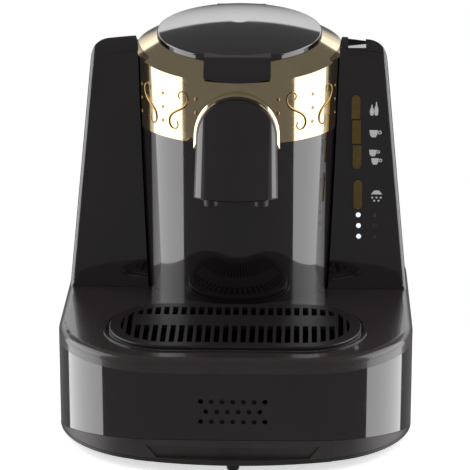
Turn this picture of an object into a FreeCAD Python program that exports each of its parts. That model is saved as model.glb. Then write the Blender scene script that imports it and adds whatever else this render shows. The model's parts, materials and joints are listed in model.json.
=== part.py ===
import FreeCAD, Part
import Sketcher

import math
import os

# Electric Turkish coffee maker, in millimetres.
# The origin is on the table under the middle of the machine: +Z up, +X right, the front faces -Y.

os.makedirs("parts", exist_ok=True)
doc = FreeCAD.newDocument("coffee_maker")
sheet = doc.addObject("Spreadsheet::Sheet", "Sizes")

# Driving dimensions
SIZES = (
    # base
    ("foot_height", 8.0),
    ("foot_radius", 8.0),
    ("front_foot_radius", 6.0),
    ("foot_taper", 1.5),
    ("base_half_width", 138.0),
    ("base_front", 140.0),
    ("base_rear", 146.0),
    ("front_corner", 86.0),
    ("rear_corner", 65.0),
    ("plate_thickness", 2.5),
    ("parting_drop", 11.5),
    ("deck_height", 91.0),
    ("deck_round", 6.0),
    ("wall", 2.5),
    ("seam", 0.3),
    # drawer below the front panel
    ("lip_reach", 7.5),
    ("lip_half_width", 75.0),
    ("chin_height", 26.0),
    ("chin_slope", 12.0),
    ("drawer_back", 78.0),
    ("grip_half_width", 66.0),
    ("grip_taper", 8.0),
    ("grip_height", 10.0),
    ("grip_depth", 7.0),
    ("grip_lip", 0.8),
    ("grip_bow", 900.0),
    ("drawer_side_room", 60.0),
    ("tank_back", 8.0),
    ("tank_height", 11.5),
    ("thin_wall", 2.0),
    ("rail_height", 6.0),
    # screws, boards and the cord's way in
    ("screw_radius", 1.8),
    ("screw_head_radius", 3.2),
    ("screw_length", 9.5),
    ("boss_radius", 4.5),
    ("boss_height", 10.0),
    ("web_thickness", 3.0),
    ("gland_height", 34.0),
    ("gland_offset", 60.0),
    ("gland_radius", 5.0),
    ("gland_collar", 1.5),
    ("cord_radius", 3.2),
    ("board_thickness", 1.6),
    ("board_stand", 8.0),
    ("board_half_width", 56.0),
    ("board_front", 44.0),
    ("board_rear", 116.0),
    ("post_radius", 3.5),
    ("post_inset", 4.0),
    ("transformer_width", 36.0),
    ("transformer_depth", 32.0),
    ("transformer_height", 24.0),
    # speaker
    ("hole_radius", 1.9),
    ("hole_pitch", 8.1),
    ("hole_height", 49.0),
    ("speaker_radius", 20.0),
    ("speaker_depth", 12.0),
    ("speaker_rim", 3.0),
    ("magnet_radius", 9.0),
    # tray and grille
    ("tray_half_width", 99.5),
    ("tray_front", 122.0),
    ("tray_rear", 21.5),
    ("tray_corner", 48.0),
    ("tray_depth", 30.0),
    ("rim_width", 4.5),
    ("rim_thickness", 2.0),
    ("deck_ring", 2.5),
    ("deck_ring_height", 1.0),
    ("grille_thickness", 3.0),
    ("grille_margin", 9.0),
    ("slot_pitch", 6.8),
    ("slot_width", 4.2),
    ("bar_front", 74.0),
    ("bar_rear", 50.0),
    ("bar_half_width", 80.0),
    # column and head
    ("column_centre", 64.0),
    ("column_radius", 82.0),
    ("band_radius", 83.0),
    ("band_bottom", 223.0),
    ("head_tilt", 5.5),
    ("lid_plane", 290.5),
    ("lid_radius", 66.0),
    ("lid_edge", 5.0),
    ("lid_dome", 7.0),
    ("throat_radius", 60.0),
    ("throat_depth", 11.0),
    ("bevel_slope", 28.4),
    ("tab_half_width", 26.0),
    ("tab_thickness", 4.5),
    ("tab_overhang", 2.0),
    ("hinge_reach", 75.5),
    ("hinge_height", -1.9),
    ("hinge_radius", 2.5),
    ("hinge_pin_radius", 1.2),
    ("hinge_half_width", 20.0),
    # brewing chamber
    ("pot_radius", 43.0),
    ("pot_depth", 74.0),
    ("pot_rim", 55.0),
    ("pot_wall", 1.5),
    ("heater_thickness", 8.0),
    ("heater_radius", 36.0),
    ("seal_height", 2.0),
    ("seal_width", 4.0),
    ("liner_drop", 4.0),
    # spout
    ("arch_radius", 30.0),
    ("arch_height", 232.0),
    ("cover_bottom", 192.0),
    ("cover_half_width", 31.0),
    ("cover_reach", 60.0),
    ("cover_curve", 53.6),
    ("cover_lean", 27.0),
    ("collar_width", 3.2),
    ("collar_reach", 30.0),
    ("nozzle_spacing", 39.2),
    ("nozzle_radius", 5.4),
    ("nozzle_bore", 2.5),
    ("nozzle_length", 11.0),
    ("nozzle_reach", 42.0),
    ("sensor_offset", 36.0),
    ("sensor_radius", 3.3),
    # towers
    ("tower_step", 2.0),
    ("tower_top_half_width", 116.0),
    ("tower_front", 22.0),
    ("tower_rear", 128.0),
    ("tower_front_top", 40.0),
    ("tower_rear_top", 118.0),
    ("cap_crown", 7.0),
    ("tower_front_corner", 5.0),
    ("tower_rear_corner", 30.0),
    ("tower_gap", 0.4),
    ("cap_round", 17.0),
    ("cap_slope", 7.0),
    ("cap_fall", 20.0),
    ("cap_front_round", 9.0),
    ("cap_height", 286.5),
    ("panel_thickness", 2.5),
    ("panel_strip", 4.7),
    ("panel_head", 3.3),
    ("panel_foot", 16.0),
    ("panel_corner", 17.0),
    ("panel_ledge", 4.0),
    ("notch_width", 14.0),
    ("notch_offset", 93.5),
    ("notch_depth", 18.0),
    ("notch_floor", 1.5),
    # buttons and lamps
    ("button_column", 93.2),
    ("button_width", 7.1),
    ("button_gap", 0.2),
    ("button_proud", 1.0),
    ("button_travel", 1.2),
    ("button_length", 19.0),
    ("button_pitch", 20.2),
    ("button_lean", 0.033),
    ("top_button_drop", 46.8),
    ("rinse_gap", 30.6),
    ("rinse_extra", 5.0),
    ("lamp_gap", 16.7),
    ("lamp_pitch", 8.8),
    ("lamp_radius", 1.9),
    # water tank in the right tower
    ("water_tank_front", 46.0),
    ("water_tank_rear", 110.0),
    ("tank_side_gap", 6.0),
    ("water_tank_corner", 22.0),
    ("water_tank_gap", 0.9),
    ("dock_height", 8.0),
    ("valve_radius", 6.0),
    ("valve_bore", 2.0),
    # pump, tubes and vents
    ("pump_radius", 12.5),
    ("pump_length", 58.0),
    ("pump_station", 76.0),
    ("tube_radius", 3.5),
    ("tube_bend", 10.0),
    ("feed_height", 217.0),
    ("vent_half_width", 26.0),
    ("vent_pitch", 7.0),
    ("vent_height", 3.0),
    ("vent_start", 45.0),
)
for row, (alias, value) in enumerate(SIZES, start=1):
    sheet.set(f"A{row}", alias)
    sheet.set(f"B{row}", str(value))
    sheet.setAlias(f"B{row}", alias)
doc.recompute()


class Size:
    pass


size = Size()
for alias, value in SIZES:
    setattr(size, alias, float(getattr(sheet, alias)))

nodes = []
X = FreeCAD.Vector(1, 0, 0)
Y = FreeCAD.Vector(0, 1, 0)
Z = FreeCAD.Vector(0, 0, 1)
# Longer than the machine in every direction, for tools that cut right through it.
BEYOND = 400.0


def vector(x, y, z=0.0):
    return FreeCAD.Vector(x, y, z)


def keep(obj, label):
    """Name a finished sub-part and list it for the files."""
    obj.Label = label
    nodes.append(obj)
    return obj


def feature(label, shape):
    """A sub-part whose shape is worked out below from the sheet."""
    obj = doc.addObject("Part::Feature", label)
    if shape.ShapeType == "Compound" and len(shape.Solids) == 1:
        shape = shape.Solids[0]
    obj.Shape = shape
    return keep(obj, label)


def cell(text):
    """An expression on the sheet: a word that names a size stands for its cell."""
    for alias in sorted((name for name, value in SIZES), key=len, reverse=True):
        text = text.replace("{" + alias + "}", "Sizes." + alias)
    return text


def place(obj, x="0", y="0", z="0"):
    for axis, text in (("x", x), ("y", y), ("z", z)):
        obj.setExpression(f".Placement.Base.{axis}", cell(text))


def turned(label, profile, x="0", y="0", z="0", axis=None, angle="0"):
    """A turned piece: a closed profile of radius and height, revolved about its upright axis, then leaned."""
    body = doc.addObject("PartDesign::Body", label)
    sketch = body.newObject("Sketcher::SketchObject", label + "_profile")
    plane = [item for item in body.Origin.OriginFeatures if item.Role == "XZ_Plane"][0]
    sketch.AttachmentSupport = [(plane, "")]
    sketch.MapMode = "FlatFace"
    count = len(profile)
    for index in range(count):
        start = vector(10.0 + index, 10.0 + index * index)
        end = vector(11.0 + index, 11.0 + (index + 1) * (index + 1))
        sketch.addGeometry(Part.LineSegment(start, end), False)
    for index in range(count):
        sketch.addConstraint(Sketcher.Constraint("Coincident", index, 2, (index + 1) % count, 1))
    for index, (radius, height) in enumerate(profile):
        for kind, text in (("DistanceX", radius), ("DistanceY", height)):
            number = sketch.addConstraint(Sketcher.Constraint(kind, -1, 1, index, 1, 1.0))
            sketch.setExpression(f"Constraints[{number}]", cell(text))
    turn = body.newObject("PartDesign::Revolution", label + "_turn")
    turn.Profile = sketch
    turn.ReferenceAxis = (sketch, ["V_Axis"])
    turn.Angle = 360.0
    body.Tip = turn
    place(body, x, y, z)
    if axis is not None:
        body.Placement = FreeCAD.Placement(body.Placement.Base, FreeCAD.Rotation(axis, 1.0))
        body.setExpression(".Placement.Rotation.Angle", cell(angle))
    return keep(body, label)


def primitive(kind, label, sizes, x="0", y="0", z="0"):
    """A box, cylinder or cone with its sizes and place bound to the sheet."""
    obj = doc.addObject("Part::" + kind, label)
    for name, text in sizes.items():
        obj.setExpression(name, cell(text))
    place(obj, x, y, z)
    return obj


def outline(x0, x1, y0, y1, front_radius, rear_radius, z):
    """A rounded rectangle at height z, with its own radius at the front and the rear corners."""
    turn = math.sqrt(0.5)
    corners = (
        (x1, y0, -1, 1, front_radius),
        (x1, y1, -1, -1, rear_radius),
        (x0, y1, 1, -1, rear_radius),
        (x0, y0, 1, 1, front_radius),
    )
    arcs = []
    for number, (x, y, sx, sy, r) in enumerate(corners):
        side = vector(x, y + sy * r, z)
        end = vector(x + sx * r, y, z)
        middle = vector(x + sx * r * (1 - turn), y + sy * r * (1 - turn), z)
        first, last = (end, side) if number % 2 == 0 else (side, end)
        arcs.append((first, middle, last))
    edges = []
    for number, (first, middle, last) in enumerate(arcs):
        edges.append(Part.Arc(first, middle, last).toShape())
        following = arcs[(number + 1) % 4][0]
        if last.distanceToPoint(following) > 0.001:
            edges.append(Part.makeLine(last, following))
    return Part.Wire(edges)


def prism(wire, direction):
    return Part.Face(wire).extrude(direction)


def polygon(points):
    return Part.makePolygon(list(points) + [points[0]])


def upright(radius, z0, z1, x=0.0, y=0.0):
    return Part.makeCylinder(radius, z1 - z0, vector(x, y, z0), Z)


def block(x0, x1, y0, y1, z0, z1):
    return Part.makeBox(x1 - x0, y1 - y0, z1 - z0, vector(x0, y0, z0))


# Base plan, shared by the deck, the lower shell, the bottom plate and the drawer front

def base_plan(inset, z):
    s = size
    half = s.base_half_width - inset
    return outline(-half, half, inset - s.base_front, s.base_rear - inset,
                   s.front_corner - inset, s.rear_corner - inset, z)


def base_prism(inset, z0, z1):
    return prism(base_plan(inset, z0), vector(0, 0, z1 - z0))


def lip_wire(half, reach, z):
    """The bowed lip that the chin adds in front of the plan."""
    shoulder = size.wall - size.base_front
    root = size.drawer_back * 0.15 - size.base_front
    left = vector(-half, shoulder, z)
    right = vector(half, shoulder, z)
    front = vector(0, -size.base_front - reach, z)
    inner_left = vector(-half + root - shoulder, root, z)
    inner_right = vector(half - root + shoulder, root, z)
    return Part.Wire([Part.Arc(left, front, right).toShape(), Part.makeLine(right, inner_right),
                      Part.makeLine(inner_right, inner_left), Part.makeLine(inner_left, left)])


base_bottom = size.foot_height
floor_top = base_bottom + size.plate_thickness
parting_height = size.deck_height - size.parting_drop
deck_under = size.deck_height - size.wall


def below_chin(gap):
    """Everything under the sloping seam between the front panel and the chin."""
    rise = math.tan(math.radians(size.chin_slope)) * BEYOND
    seam_height = size.chin_height - gap
    near = -size.base_front
    return prism(polygon([vector(-BEYOND, near - BEYOND, seam_height + rise),
                          vector(-BEYOND, near + BEYOND, seam_height - rise),
                          vector(-BEYOND, near + BEYOND, -BEYOND), vector(-BEYOND, near - BEYOND, -BEYOND)]),
                 vector(2 * BEYOND, 0, 0))


# Feet: one under the middle of the front and one near each corner

front_foot = primitive("Cone", "front_foot", {
    "Radius1": "{front_foot_radius} - {foot_taper}", "Radius2": "{front_foot_radius}",
    "Height": "{foot_height}"}, "0", "{front_foot_radius} - {base_front}")
keep(front_foot, "front_foot")
foot_places = (
    ("front_left_foot", "-0.76", "-0.32"),
    ("front_right_foot", "0.76", "-0.32"),
    ("rear_left_foot", "-0.6", "0.74"),
    ("rear_right_foot", "0.6", "0.74"),
)
for label, across, along in foot_places:
    foot = primitive("Cone", label, {
        "Radius1": "{foot_radius} - {foot_taper}", "Radius2": "{foot_radius}", "Height": "{foot_height}"},
        across + " * {base_half_width}", along + " * {base_rear}")
    keep(foot, label)

# Bottom plate with the board's posts and the rails of the waste tank

post_x = size.board_half_width - size.post_inset
post_rows = (size.board_front + size.post_inset, size.board_rear - size.post_inset)
board_posts = [(x, y) for x in (-post_x, post_x) for y in post_rows]
board_height = floor_top + size.board_stand
waste_half_width = size.base_half_width - size.drawer_side_room
rail_x = waste_half_width + size.seam
drawer_limit = size.drawer_back - size.base_front
plate = base_prism(0, base_bottom, floor_top)
plate = plate.fuse(prism(lip_wire(size.lip_half_width, size.lip_reach, base_bottom),
                         vector(0, 0, size.plate_thickness)))
for x, y in board_posts:
    plate = plate.fuse(upright(size.post_radius, floor_top, board_height, x, y))
for side in (-1, 1):
    rail = block(rail_x, rail_x + size.thin_wall, drawer_limit, -size.tank_back, floor_top,
                 floor_top + size.rail_height)
    plate = plate.fuse(rail if side > 0 else rail.mirror(vector(0, 0, 0), X))
screw_places = ((-0.8, 0.3), (0.8, 0.3), (-0.45, 0.85), (0.45, 0.85))
head_recess = 1.2
screws = []
for across, along in screw_places:
    x = across * size.base_half_width
    y = along * size.base_rear
    head_top = base_bottom + head_recess
    plate = plate.cut(upright(size.screw_radius + size.seam, 0, floor_top + size.seam, x, y))
    plate = plate.cut(upright(size.screw_head_radius + size.seam, 0, head_top, x, y))
    head = upright(size.screw_head_radius, base_bottom + size.seam, head_top, x, y)
    screws.append(head.fuse(upright(size.screw_radius - 0.02, head_top, head_top + size.screw_length, x, y)))
feature("bottom_plate", plate.removeSplitter())
feature("base_screws", Part.makeCompound(screws))

# Lower shell: the glossy skirt, open below the sloping seam at the front, with the sound holes.
# It is moulded in four parts that meet on the straight of each side and at the rear corners.

skirt = base_prism(0, floor_top, parting_height)
skirt = skirt.cut(base_prism(size.wall, 0, BEYOND))
skirt = skirt.cut(below_chin(0).common(block(-BEYOND, BEYOND, -BEYOND, drawer_limit, -1, BEYOND)))
boss_top = floor_top + size.boss_height
for across, along in screw_places:
    x = across * size.base_half_width
    y = along * size.base_rear
    half_web = size.web_thickness / 2
    boss = upright(size.boss_radius, floor_top, boss_top, x, y)
    if along < 0.5:
        web = block(min(x, math.copysign(BEYOND, x)), max(x, math.copysign(BEYOND, x)),
                    y - half_web, y + half_web, floor_top, boss_top)
    else:
        web = block(x - half_web, x + half_web, y, BEYOND, floor_top, boss_top)
    web = web.common(base_prism(size.wall / 2, floor_top, boss_top))
    skirt = skirt.fuse(boss.fuse(web)).cut(upright(size.screw_radius, 0, floor_top + size.screw_length, x, y))
rows = ((1, 7), (0, 6), (-1, 7))
for row, count in rows:
    for number in range(round(count)):
        x = (number - (count - 1) / 2) * size.hole_pitch
        z = size.hole_height + row * size.hole_pitch
        hole = Part.makeCylinder(size.hole_radius, 3 * size.wall, vector(x, -size.base_front - size.wall, z), Y)
        skirt = skirt.cut(hole)
gland_hole = Part.makeCylinder(size.gland_radius, BEYOND, vector(-size.gland_offset, 0, size.gland_height), Y)
skirt = skirt.cut(gland_hole)
front_joint = size.front_corner - size.base_front
rear_joint = size.base_rear - size.rear_corner
half_gap = 0.05
skirt_parts = (
    ("front_skirt", block(-BEYOND, BEYOND, -BEYOND, front_joint - half_gap, 0, BEYOND)),
    ("left_skirt", block(-BEYOND, 0, front_joint + half_gap, rear_joint - half_gap, 0, BEYOND)),
    ("right_skirt", block(0, BEYOND, front_joint + half_gap, rear_joint - half_gap, 0, BEYOND)),
    ("rear_skirt", block(-BEYOND, BEYOND, rear_joint + half_gap, BEYOND, 0, BEYOND)),
)
for label, region in skirt_parts:
    feature(label, skirt.common(region).removeSplitter())

turned("cord_gland", [
    ("{cord_radius}", "-{wall} - {gland_collar}"), ("{gland_radius} - 0.1", "-{wall} - {gland_collar}"),
    ("{gland_radius} - 0.1", "0"), ("{gland_radius} + {gland_collar}", "0"),
    ("{gland_radius} + {gland_collar}", "{gland_collar}"), ("{cord_radius}", "{gland_collar}")],
    "-{gland_offset}", "{base_rear}", "{gland_height}", X, "-90")
turned("speaker", [
    ("0", "0"), ("{speaker_radius}", "0"), ("{speaker_radius}", "{speaker_rim}"),
    ("{speaker_radius} - {speaker_rim}", "{speaker_rim}"), ("{magnet_radius}", "{speaker_depth}"),
    ("0", "{speaker_depth}")], "0", "{wall} - {base_front}", "{hole_height}", X, "-90")

# Drawer: chin with its finger grip, and the waste tank behind it

chin_base = floor_top + size.seam
chin_top = parting_height
chin = base_prism(0, chin_base, chin_top)
lip = Part.makeLoft([lip_wire(size.lip_half_width, size.lip_reach, chin_base),
                     lip_wire(size.lip_half_width, 0.4, size.chin_height)], True, True)
chin = chin.fuse(lip)
chin = chin.common(below_chin(size.seam)).common(block(-BEYOND, BEYOND, -BEYOND, drawer_limit, 0, BEYOND))
chin = chin.cut(base_prism(size.wall + 2 * size.seam, 0, BEYOND))
grip_front = -size.base_front - size.lip_reach
grip_top = chin_base + size.grip_height
grip = prism(polygon([vector(-size.grip_half_width, -BEYOND, grip_top),
                      vector(size.grip_half_width, -BEYOND, grip_top),
                      vector(size.grip_half_width - size.grip_taper, -BEYOND, chin_base + size.grip_lip),
                      vector(size.grip_taper - size.grip_half_width, -BEYOND, chin_base + size.grip_lip)]),
             vector(0, BEYOND, 0))
grip_back = upright(size.grip_bow, 0, BEYOND, 0, grip_front + size.grip_depth + size.grip_bow)
pocket_half = size.grip_half_width + 2 * size.thin_wall
pocket_rear = grip_front + size.grip_depth + 4 * size.thin_wall
pocket = block(-pocket_half, pocket_half, -BEYOND, pocket_rear, chin_base, grip_top + size.thin_wall)
pocket = pocket.common(chin.fuse(base_prism(0, chin_base, grip_top + size.thin_wall)))
chin = chin.fuse(pocket).common(below_chin(size.seam))
chin = chin.cut(grip.cut(grip_back))
feature("drawer_front", chin.removeSplitter())

tank_floor = floor_top + size.seam
tank_front = pocket_rear + size.seam
waste_corner = 6.0
waste = prism(outline(-waste_half_width, waste_half_width, tank_front, -size.tank_back,
                      waste_corner, waste_corner, tank_floor), vector(0, 0, size.tank_height))
hollow_half = waste_half_width - size.thin_wall
hollow_corner = waste_corner - size.thin_wall
waste = waste.cut(prism(outline(-hollow_half, hollow_half, tank_front + size.thin_wall,
                                -size.tank_back - size.thin_wall, hollow_corner, hollow_corner,
                                tank_floor + size.thin_wall), vector(0, 0, size.tank_height)))
feature("waste_tank", waste)

# Tray, its grille and the ring of the deck round them

tray_middle = (size.tray_front + size.tray_rear) / 2
ring_height = size.deck_height + size.deck_ring_height


def tray_outline(inset, z):
    s = size
    half = s.tray_half_width - inset
    corner = min(s.tray_corner - inset, (s.tray_front - s.tray_rear) / 2 - inset - 0.5)
    return outline(-half, half, inset - s.tray_front, -s.tray_rear - inset, corner, corner, z)


def tray_prism(inset, z0, z1):
    return prism(tray_outline(inset, z0), vector(0, 0, z1 - z0))


ledge = size.deck_height - size.rim_thickness
tray = tray_prism(0, ledge, ledge + size.rim_thickness)
tray = tray.fuse(tray_prism(size.rim_width, size.deck_height - size.tray_depth, ledge + size.rim_thickness))
tray = tray.cut(tray_prism(size.rim_width + size.thin_wall, size.deck_height - size.tray_depth + size.thin_wall,
                           size.deck_height + 1))
feature("drip_tray", tray.removeSplitter())

grille_edge = size.rim_width / 2 - 0.2
grille_top = size.deck_height + size.grille_thickness
grille = tray_prism(grille_edge, size.deck_height, grille_top)
top_edges = [edge for edge in grille.Edges if edge.BoundBox.ZMin > grille_top - 0.01]
grille = grille.makeFillet(1.2, top_edges)
field = tray_prism(grille_edge + size.grille_margin, size.deck_height - 1, grille_top + 1)
bar = block(-size.bar_half_width, size.bar_half_width, -size.bar_front, -size.bar_rear,
            0, BEYOND)
slots = []
slot_count = int((size.tray_half_width - grille_edge - size.grille_margin) / size.slot_pitch)
for number in range(-slot_count, slot_count + 1):
    x = number * size.slot_pitch
    slot = block(x - size.slot_width / 2, x + size.slot_width / 2, -BEYOND, BEYOND,
                 size.deck_height - 1, grille_top + 1)
    slots.append(slot.common(field))
rows_of_slots = Part.makeCompound(slots).cut(bar)
feature("cup_grille", grille.cut(rows_of_slots))

# Towers: one tapered block with rounded corners, parted by the column


tower_foot_half_width = size.base_half_width - size.tower_step
tower_top = size.cap_height + size.cap_crown


def at_height(foot, top, z):
    """A tower size at height z, between its value at the deck and at the top."""
    share = (z - size.deck_height) / (tower_top - size.deck_height)
    return foot + (top - foot) * share


def face_y(z):
    return at_height(size.tower_front, size.tower_front_top, z)


def half_width(z):
    return at_height(tower_foot_half_width, size.tower_top_half_width, z)


def rear_y(z):
    return at_height(size.tower_rear, size.tower_rear_top, z)


def tower_section(inset, front_inset, z):
    half = half_width(z) - inset
    return outline(-half, half, face_y(z) + front_inset, rear_y(z) - inset,
                   max(size.tower_front_corner - inset, 1.0), size.tower_rear_corner - inset, z)


def tower_block(inset, front_inset, z0, z1):
    ends = [tower_section(inset, front_inset, z) for z in (z0, z1)]
    return Part.makeLoft(ends, True, True)


across_slope = math.radians(size.cap_slope)
fall_slope = math.radians(size.cap_fall)
# A tower's side moves outwards by this much for each millimetre down
side_lean = (tower_foot_half_width - size.tower_top_half_width) / (tower_top - size.deck_height)


def roof_height(height, x):
    """A line that slopes outwards from the column, at its given height there."""
    return height - math.tan(across_slope) * (x - size.column_radius)


def roof_corner(edge, height, r):
    """The round shoulder between the sloping line above and the side at edge: its start, middle and end."""
    start_x = edge - r + r * math.sin(across_slope)
    low = roof_height(height, start_x) - r * math.cos(across_slope)
    turn = (math.pi / 2 - across_slope) / 2
    return (vector(start_x, 0, roof_height(height, start_x)),
            vector(edge - r + r * math.cos(turn), 0, low + r * math.sin(turn)), vector(edge, 0, low))


def sheared(points_wire, y, side):
    """Carry a front profile back along the roof: down with its fall and out with the tower's side."""
    way = vector(side * side_lean * math.sin(fall_slope), math.cos(fall_slope), -math.sin(fall_slope))
    body = prism(points_wire, way * (2 * BEYOND))
    body.translate(vector(0, y, 0) - way * BEYOND)
    return body


def rounded_top(inset):
    """The space under the roofs of the towers: they fall outwards and to the rear, with round shoulders."""
    top = tower_top - inset
    r = size.cap_round - inset
    f = size.cap_front_round - inset
    edge = half_width(top - size.cap_round) - inset
    start, bend, end = roof_corner(edge, top, r)
    front = face_y(top - f) + inset
    back = rear_y(top - f) - inset
    crest = front + f
    halves = []
    for side in (-1, 1):
        corners = [vector(side * point.x, 0, point.z) for point in (start, bend, end)]
        outside = vector(side * BEYOND, 0, corners[2].z)
        below = vector(side * BEYOND, 0, -BEYOND)
        middle = vector(0, 0, roof_height(top, 0))
        wire = Part.Wire([Part.makeLine(middle, corners[0]), Part.Arc(*corners).toShape(),
                          Part.makeLine(corners[2], outside), Part.makeLine(outside, below),
                          Part.makeLine(below, vector(0, 0, -BEYOND)),
                          Part.makeLine(vector(0, 0, -BEYOND), middle)])
        halves.append(sheared(wire, crest, side))
    sine, cosine = math.sin(fall_slope), math.cos(fall_slope)
    halfway = math.radians(135 - size.cap_fall / 2)
    front_low = vector(0, front, top - f)
    front_bend = vector(0, crest + f * math.cos(halfway), top - f + f * math.sin(halfway))
    front_end = vector(0, crest + f * sine, top - f + f * cosine)
    rear_run = back - f + f * sine - front_end.y
    rear_centre = vector(0, back - f, front_end.z - rear_run * math.tan(fall_slope) - f * cosine)
    rear_start = vector(0, rear_centre.y + f * sine, rear_centre.z + f * cosine)
    half_turn = (math.pi / 2 - fall_slope) / 2
    rear_bend = vector(0, rear_centre.y + f * math.cos(half_turn), rear_centre.z + f * math.sin(half_turn))
    rear_end = vector(0, back, rear_centre.z)
    corners = [rear_end, vector(0, BEYOND, rear_end.z), vector(0, BEYOND, -BEYOND), vector(0, -BEYOND, -BEYOND),
               vector(0, -BEYOND, front_low.z), front_low]
    along = [Part.Arc(front_low, front_bend, front_end).toShape(), Part.makeLine(front_end, rear_start),
             Part.Arc(rear_start, rear_bend, rear_end).toShape()]
    along += [Part.makeLine(corners[index], corners[index + 1]) for index in range(len(corners) - 1)]
    side_profile = prism(Part.Wire(along), vector(2 * BEYOND, 0, 0))
    side_profile.translate(vector(-BEYOND, 0, 0))
    return [side_profile.common(half) for half in halves]


def under_roof(tower, inset):
    """Both towers of a block, cut off by the roof."""
    left, right = rounded_top(inset)
    return Part.makeCompound([tower.common(block(-BEYOND, 0, -BEYOND, BEYOND, 0, BEYOND)).common(left),
                              tower.common(block(0, BEYOND, -BEYOND, BEYOND, 0, BEYOND)).common(right)])


def below_caps(gap):
    """Everything under the parting of the caps, which runs parallel to the roofs."""
    height = size.cap_height + gap
    halves = []
    for side in (-1, 1):
        far_out = vector(side * BEYOND, 0, roof_height(height, BEYOND))
        halves.append(sheared(polygon([vector(0, 0, roof_height(height, 0)), far_out,
                                       vector(side * BEYOND, 0, -BEYOND), vector(0, 0, -BEYOND)]),
                              face_y(size.cap_height), side))
    return halves


well_radius = size.band_radius + size.tower_gap
column_y = size.column_centre
well = upright(well_radius, 0, BEYOND, 0, column_y)
wall_cylinder = upright(well_radius + size.wall, 0, BEYOND, 0, column_y)
tower_outer = under_roof(tower_block(0, 0, parting_height, tower_top + 1).cut(well), 0)
tower_inner = under_roof(tower_block(size.wall, size.wall * 2, size.deck_height, tower_top).cut(wall_cylinder),
                         size.wall)


def panel_outline(side, inset, z0):
    """The face of a tower: it widens to a point above the deck and turns a round corner at the top."""
    s = size
    low = s.deck_height + s.seam + inset
    r = s.panel_corner
    edge = s.panel_strip + inset
    top = s.cap_height - s.panel_head - inset
    start, bend, end = roof_corner(half_width(top - r) - edge, top, r)
    tip_inset = s.panel_strip / 3 + inset
    tip = vector(half_width(low) - tip_inset, 0, low)
    neck = vector(half_width(low + s.panel_foot) - edge, 0, low + s.panel_foot)
    bow = vector((tip.x + neck.x) / 2 - 0.9, 0, (tip.z + neck.z) / 2 - 1.5)
    inner = s.column_radius / 2
    points = [vector(side * point.x, 0, point.z) for point in (
        vector(inner, 0, low), tip, bow, neck, end, bend, start, vector(inner, 0, roof_height(top, inner)))]
    root, tip, bow, neck, end, bend, start, head = points
    return Part.Wire([Part.makeLine(root, tip), Part.Arc(tip, bow, neck).toShape(), Part.makeLine(neck, end),
                      Part.Arc(end, bend, start).toShape(), Part.makeLine(start, head),
                      Part.makeLine(head, root)])


def face_slab(start, depth):
    """The leaning slab between two depths behind the tower faces."""
    z0 = 0.0
    z1 = BEYOND
    return prism(polygon([vector(-BEYOND, face_y(z0) + start, z0), vector(-BEYOND, face_y(z0) + start + depth, z0),
                          vector(-BEYOND, face_y(z1) + start + depth, z1),
                          vector(-BEYOND, face_y(z1) + start, z1)]), vector(2 * BEYOND, 0, 0))


def panel_prism(side, inset, start, depth):
    body = prism(panel_outline(side, inset, 0), vector(0, BEYOND, 0))
    body.translate(vector(0, -BEYOND / 2, 0))
    return body.common(face_slab(start, depth))


# Deck with the raised ring round the tray

deck_solid = base_prism(0, parting_height, size.deck_height)
deck_top_edges = [edge for edge in deck_solid.Edges if edge.BoundBox.ZMin > size.deck_height - 0.01]
deck_solid = deck_solid.makeFillet(size.deck_round, deck_top_edges)
deck = deck_solid.cut(base_prism(size.wall, 0, deck_under))
ring = tray_prism(-size.deck_ring, deck_under, ring_height)
ring = ring.fuse(tray_prism(-size.deck_ring, ledge - size.wall, size.deck_height))
deck = deck.fuse(ring)
deck = deck.cut(tray_prism(-size.seam, ledge, BEYOND))
deck = deck.cut(tray_prism(size.rim_width - size.seam, 0, BEYOND))
deck = deck.cut(upright(size.column_radius - 2 * size.wall, 0, BEYOND, 0, column_y))

# Tower shells: each stands on the deck and takes its face panel in a rebate

cap_floors = below_caps(0)
tower_shells = {}
for side, label, floor in ((-1, "left_tower", cap_floors[0]), (1, "right_tower", cap_floors[1])):
    region = block(min(0, side * BEYOND), max(0, side * BEYOND), -BEYOND, BEYOND, 0, BEYOND)
    tower = tower_outer.common(region).common(floor).cut(tower_inner).cut(deck_solid)
    tower = tower.cut(panel_prism(side, -0.15, -size.wall, size.wall + size.panel_thickness))
    window = panel_prism(side, size.panel_ledge, 0, 3 * size.wall)
    tower_shells[label] = tower.cut(window.cut(wall_cylinder))

# Water passages through the deck under each tower and through the left tower's inner wall
tank_side = size.tower_top_half_width - size.wall - size.tank_side_gap
tank_middle = (size.water_tank_front + size.water_tank_rear) / 2
tank_inner = size.band_radius + size.tower_gap + size.wall + size.water_tank_gap
dock_x = (tank_inner + tank_side) / 2 - 0.5
pump_top = size.deck_height + size.pump_length
pump_x = (well_radius + half_width(pump_top)) / 2
tube_hole = size.tube_radius + size.seam
passages = upright(tube_hole, 0, size.deck_height + 1, dock_x, tank_middle)
passages = passages.fuse(upright(tube_hole, 0, size.deck_height + 1, -pump_x, size.pump_station))
feed_hole = Part.makeCylinder(tube_hole, pump_x, vector(-pump_x, size.pump_station, size.feed_height), X)
feature("deck_shell", deck.cut(passages).removeSplitter())
feature("left_tower", tower_shells["left_tower"].cut(feed_hole).removeSplitter())
feature("right_tower", tower_shells["right_tower"].removeSplitter())


# Face panels

top_button = size.cap_height - size.top_button_drop


def button_x(z):
    """The button column leans a little outwards as it goes down the face."""
    return size.button_column + (top_button - z) * size.button_lean


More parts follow.
